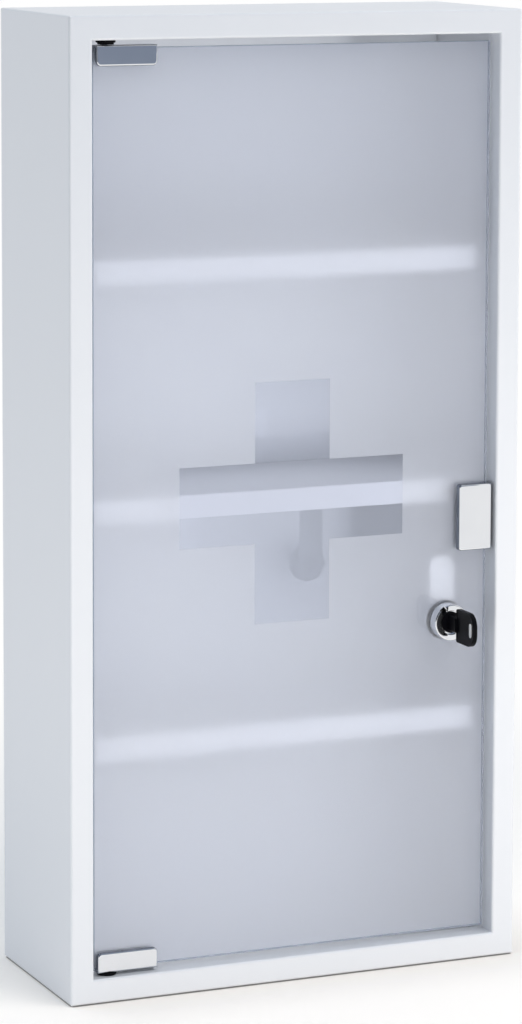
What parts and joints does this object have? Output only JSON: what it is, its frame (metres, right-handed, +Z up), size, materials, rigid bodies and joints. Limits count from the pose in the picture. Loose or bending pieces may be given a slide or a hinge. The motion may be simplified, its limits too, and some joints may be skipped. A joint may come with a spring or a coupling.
{
  "type": "glass door medical cabinet",
  "caption": "White sheet-steel wall cabinet with an inset frosted glass door on pivot hinges, folded shelves, a clip handle and a keyed cam lock.",
  "frame": {"origin": "middle of the base, on the surface that the cabinet stands on", "axes": "+Z up, the door faces -Y and the back is at +Y, +X to the right as seen from the front"},
  "size_m": [0.3, 0.1524, 0.6],
  "materials": {
    "powder_coat": "semi-gloss white powder coat",
    "frosted_glass": "polished front, frosted back with a clear cross",
    "chrome": "polished chrome plate",
    "black_plastic": "moulded, semi-gloss",
    "clear_plastic": "clear soft plastic",
    "zinc_plate": "bright zinc plate",
    "magnet": "matt pressed ferrite"
  },
  "bodies": {
    "cabinet": {"cabinet_shell": "powder_coat", "back_panel": "powder_coat", "upper_shelf": "powder_coat", "middle_shelf": "powder_coat", "lower_shelf": "powder_coat", "upper_pivot_bush": "black_plastic", "lower_pivot_bush": "black_plastic", "catch_magnet": "magnet"},
    "door": {"glass_pane": "frosted_glass", "upper_hinge_clamp": "chrome", "upper_pivot_pin": "zinc_plate", "upper_hinge_front_pad": "clear_plastic", "upper_hinge_rear_pad": "clear_plastic", "upper_hinge_inner_screw": "zinc_plate", "upper_hinge_outer_screw": "zinc_plate", "lower_hinge_clamp": "chrome", "lower_pivot_pin": "zinc_plate", "lower_hinge_front_pad": "clear_plastic", "lower_hinge_rear_pad": "clear_plastic", "lower_hinge_inner_screw": "zinc_plate", "lower_hinge_outer_screw": "zinc_plate", "handle_clip": "chrome", "handle_front_pad": "clear_plastic", "handle_rear_pad": "clear_plastic", "handle_screw": "zinc_plate", "lock_body": "chrome", "lock_gasket": "clear_plastic", "lock_washer": "black_plastic", "lock_nut": "zinc_plate"},
    "lock_plug": {"plug_cap": "black_plastic", "lock_plug": "zinc_plate", "lock_cam": "zinc_plate", "cam_washer": "zinc_plate", "cam_screw": "zinc_plate"},
    "key": {"key_blade": "zinc_plate", "key_head": "black_plastic"}
  },
  "joints": [
    {"name": "door_hinge", "type": "hinge", "parent": "cabinet", "child": "door", "pos_m": [-0.123, -0.05, 0.3], "axis": [0, 0, -1], "range_deg": [0, 110]},
    {"name": "lock_turn", "type": "hinge", "parent": "door", "child": "lock_plug", "pos_m": [0.105, -0.05, 0.217], "axis": [0, 1, 0], "range_deg": [0, 90]},
    {"name": "key_pull", "type": "slide", "parent": "lock_plug", "child": "key", "axis": [0, -1, 0], "range_m": [0, 0.018]}
  ]
}
